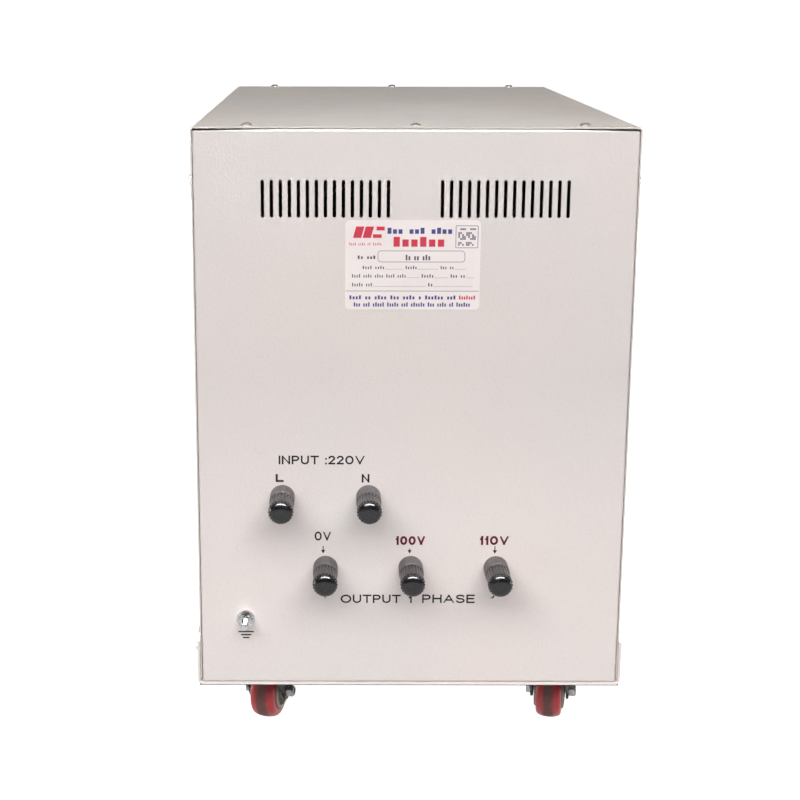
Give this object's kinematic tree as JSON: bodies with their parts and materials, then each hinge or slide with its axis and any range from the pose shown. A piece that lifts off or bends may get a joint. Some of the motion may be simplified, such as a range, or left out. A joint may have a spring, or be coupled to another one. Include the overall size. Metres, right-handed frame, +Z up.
{
  "type": "autotransformer",
  "caption": "Upright sheet-steel autotransformer cabinet on swivel casters, with screw binding posts, an earth stud and vent slots.",
  "frame": {"origin": "on the floor under the centre of the bounding box", "axes": "+Z up, -Y out of the terminal panel, +X to the right when facing the terminal panel"},
  "size_m": [0.359, 0.622, 0.5368],
  "materials": {
    "cream_enamel": "fine orange-peel powder coat",
    "grey_enamel": "fine orange-peel powder coat",
    "screw_zinc": "zinc plated",
    "bright_zinc": "bright zinc plated",
    "core_steel": "wound silicon-steel strip",
    "copper_winding": "enamelled copper",
    "pad_rubber": "matte",
    "black_phenolic": "moulded, semi-gloss",
    "collar_black": "moulded, dusty",
    "stud_brass": "turned",
    "lug_tin": "tin plated",
    "lead_red": "PVC insulation",
    "lead_white": "PVC insulation",
    "lead_green": "PVC insulation, green with a yellow stripe",
    "meter_black": "moulded, satin",
    "dial_white": "printed dial",
    "needle_black": "matte",
    "window_clear": "clear",
    "breaker_grey": "moulded thermoset",
    "toggle_black": "moulded",
    "rail_zinc": "zinc plated",
    "lamp_chrome": "plated bezel",
    "lamp_red": "translucent lens",
    "caster_zinc": "zinc plated pressing",
    "fork_zinc": "dark zinc plated pressing",
    "wheel_core_grey": "moulded nylon",
    "tyre_red": "polyurethane, worn along its middle"
  },
  "bodies": {
    "cabinet": {"base_tray": "cream_enamel", "top_cover": "grey_enamel", "terminal_panel": "cream_enamel", "control_panel": "cream_enamel", "cabinet_screws": "screw_zinc", "transformer_core": "core_steel", "transformer_winding": "copper_winding", "transformer_pads": "pad_rubber", "clamp_dish": "rail_zinc", "centre_bolt": "bright_zinc", "post_collars": "collar_black", "post_rear_insulators": "collar_black", "post_studs": "stud_brass", "post_nuts": "stud_brass", "ring_lugs": "lug_tin", "earth_studs": "bright_zinc", "earth_nuts": "bright_zinc", "power_leads": "lead_red", "signal_leads": "lead_white", "earth_lead": "lead_green", "voltmeter_case": "meter_black", "voltmeter_dial": "dial_white", "voltmeter_window": "window_clear", "voltmeter_zero_screw": "screw_zinc", "breaker_case": "breaker_grey", "din_rail": "rail_zinc", "rail_posts": "bright_zinc", "pilot_lamp_body": "lamp_chrome", "pilot_lamp_lens": "lamp_red", "caster_plates": "caster_zinc", "caster_kingpins": "caster_zinc", "caster_bolts": "bright_zinc"},
    "insert_input_line": {"cap_insert_input_line": "stud_brass"},
    "cap_input_line": {"cap_input_line": "black_phenolic"},
    "insert_input_neutral": {"cap_insert_input_neutral": "stud_brass"},
    "cap_input_neutral": {"cap_input_neutral": "black_phenolic"},
    "insert_output_0v": {"cap_insert_output_0v": "stud_brass"},
    "cap_output_0v": {"cap_output_0v": "black_phenolic"},
    "insert_output_100v": {"cap_insert_output_100v": "stud_brass"},
    "cap_output_100v": {"cap_output_100v": "black_phenolic"},
    "insert_output_110v": {"cap_insert_output_110v": "stud_brass"},
    "cap_output_110v": {"cap_output_110v": "black_phenolic"},
    "fork_terminal_left": {"caster_fork_terminal_left": "fork_zinc", "caster_axle_terminal_left": "bright_zinc"},
    "wheel_terminal_left": {"wheel_core_terminal_left": "wheel_core_grey", "wheel_tyre_terminal_left": "tyre_red"},
    "fork_terminal_right": {"caster_fork_terminal_right": "fork_zinc", "caster_axle_terminal_right": "bright_zinc"},
    "wheel_terminal_right": {"wheel_core_terminal_right": "wheel_core_grey", "wheel_tyre_terminal_right": "tyre_red"},
    "fork_control_left": {"caster_fork_control_left": "fork_zinc", "caster_axle_control_left": "bright_zinc"},
    "wheel_control_left": {"wheel_core_control_left": "wheel_core_grey", "wheel_tyre_control_left": "tyre_red"},
    "fork_control_right": {"caster_fork_control_right": "fork_zinc", "caster_axle_control_right": "bright_zinc"},
    "wheel_control_right": {"wheel_core_control_right": "wheel_core_grey", "wheel_tyre_control_right": "tyre_red"},
    "toggle": {"breaker_toggle": "toggle_black"},
    "needle": {"voltmeter_needle": "needle_black"}
  },
  "joints": [
    {"name": "lift_input_line", "type": "slide", "parent": "cabinet", "child": "insert_input_line", "axis": [0, -1, 0], "range_m": [0, 0.0075]},
    {"name": "turn_input_line", "type": "hinge", "parent": "insert_input_line", "child": "cap_input_line", "pos_m": [-0.105, -0.287, 0.2355], "axis": [0, -1, 0], "range_deg": [0, 2160]},
    {"name": "lift_input_neutral", "type": "slide", "parent": "cabinet", "child": "insert_input_neutral", "axis": [0, -1, 0], "range_m": [0, 0.0075]},
    {"name": "turn_input_neutral", "type": "hinge", "parent": "insert_input_neutral", "child": "cap_input_neutral", "pos_m": [-0.035, -0.287, 0.2355], "axis": [0, -1, 0], "range_deg": [0, 2160]},
    {"name": "lift_output_0v", "type": "slide", "parent": "cabinet", "child": "insert_output_0v", "axis": [0, -1, 0], "range_m": [0, 0.0075]},
    {"name": "turn_output_0v", "type": "hinge", "parent": "insert_output_0v", "child": "cap_output_0v", "pos_m": [-0.07, -0.287, 0.1745], "axis": [0, -1, 0], "range_deg": [0, 2160]},
    {"name": "lift_output_100v", "type": "slide", "parent": "cabinet", "child": "insert_output_100v", "axis": [0, -1, 0], "range_m": [0, 0.0075]},
    {"name": "turn_output_100v", "type": "hinge", "parent": "insert_output_100v", "child": "cap_output_100v", "pos_m": [0, -0.287, 0.1745], "axis": [0, -1, 0], "range_deg": [0, 2160]},
    {"name": "lift_output_110v", "type": "slide", "parent": "cabinet", "child": "insert_output_110v", "axis": [0, -1, 0], "range_m": [0, 0.0075]},
    {"name": "turn_output_110v", "type": "hinge", "parent": "insert_output_110v", "child": "cap_output_110v", "pos_m": [0.07, -0.287, 0.1745], "axis": [0, -1, 0], "range_deg": [0, 2160]},
    {"name": "swivel_terminal_left", "type": "hinge", "parent": "cabinet", "child": "fork_terminal_left", "pos_m": [-0.127, -0.201, 0.06], "axis": [0, 0, 1], "continuous": true},
    {"name": "roll_terminal_left", "type": "hinge", "parent": "fork_terminal_left", "child": "wheel_terminal_left", "pos_m": [-0.12107, -0.18033, 0.025], "axis": [0.9613, -0.2756, 0], "continuous": true},
    {"name": "swivel_terminal_right", "type": "hinge", "parent": "cabinet", "child": "fork_terminal_right", "pos_m": [0.127, -0.201, 0.06], "axis": [0, 0, 1], "continuous": true},
    {"name": "roll_terminal_right", "type": "hinge", "parent": "fork_terminal_right", "child": "wheel_terminal_right", "pos_m": [0.13147, -0.17997, 0.025], "axis": [0.9781, -0.2079, 0], "continuous": true},
    {"name": "swivel_control_left", "type": "hinge", "parent": "cabinet", "child": "fork_control_left", "pos_m": [-0.127, 0.227, 0.06], "axis": [0, 0, 1], "continuous": true},
    {"name": "roll_control_left", "type": "hinge", "parent": "fork_control_left", "child": "wheel_control_left", "pos_m": [-0.1218, 0.24786, 0.025], "axis": [0.9703, -0.2419, 0], "continuous": true},
    {"name": "swivel_control_right", "type": "hinge", "parent": "cabinet", "child": "fork_control_right", "pos_m": [0.127, 0.227, 0.06], "axis": [0, 0, 1], "continuous": true},
    {"name": "roll_control_right", "type": "hinge", "parent": "fork_control_right", "child": "wheel_control_right", "pos_m": [0.13329, 0.24756, 0.025], "axis": [0.9563, -0.2924, 0], "continuous": true},
    {"name": "breaker_throw", "type": "hinge", "parent": "cabinet", "child": "toggle", "pos_m": [0, 0.2925, 0.27], "axis": [1, 0, 0], "range_deg": [0, 80]},
    {"name": "needle_sweep", "type": "hinge", "parent": "cabinet", "child": "needle", "pos_m": [-0.045, 0.2982, 0.386], "axis": [0, -1, 0], "range_deg": [0, 90], "stiffness_Nm_per_rad": 0.0002}
  ],
  "couplings": [
    {"joint": "turn_input_line", "follows": "lift_input_line", "rad_per_m": 5026.5},
    {"joint": "turn_input_neutral", "follows": "lift_input_neutral", "rad_per_m": 5026.5},
    {"joint": "turn_output_0v", "follows": "lift_output_0v", "rad_per_m": 5026.5},
    {"joint": "turn_output_100v", "follows": "lift_output_100v", "rad_per_m": 5026.5},
    {"joint": "turn_output_110v", "follows": "lift_output_110v", "rad_per_m": 5026.5}
  ]
}
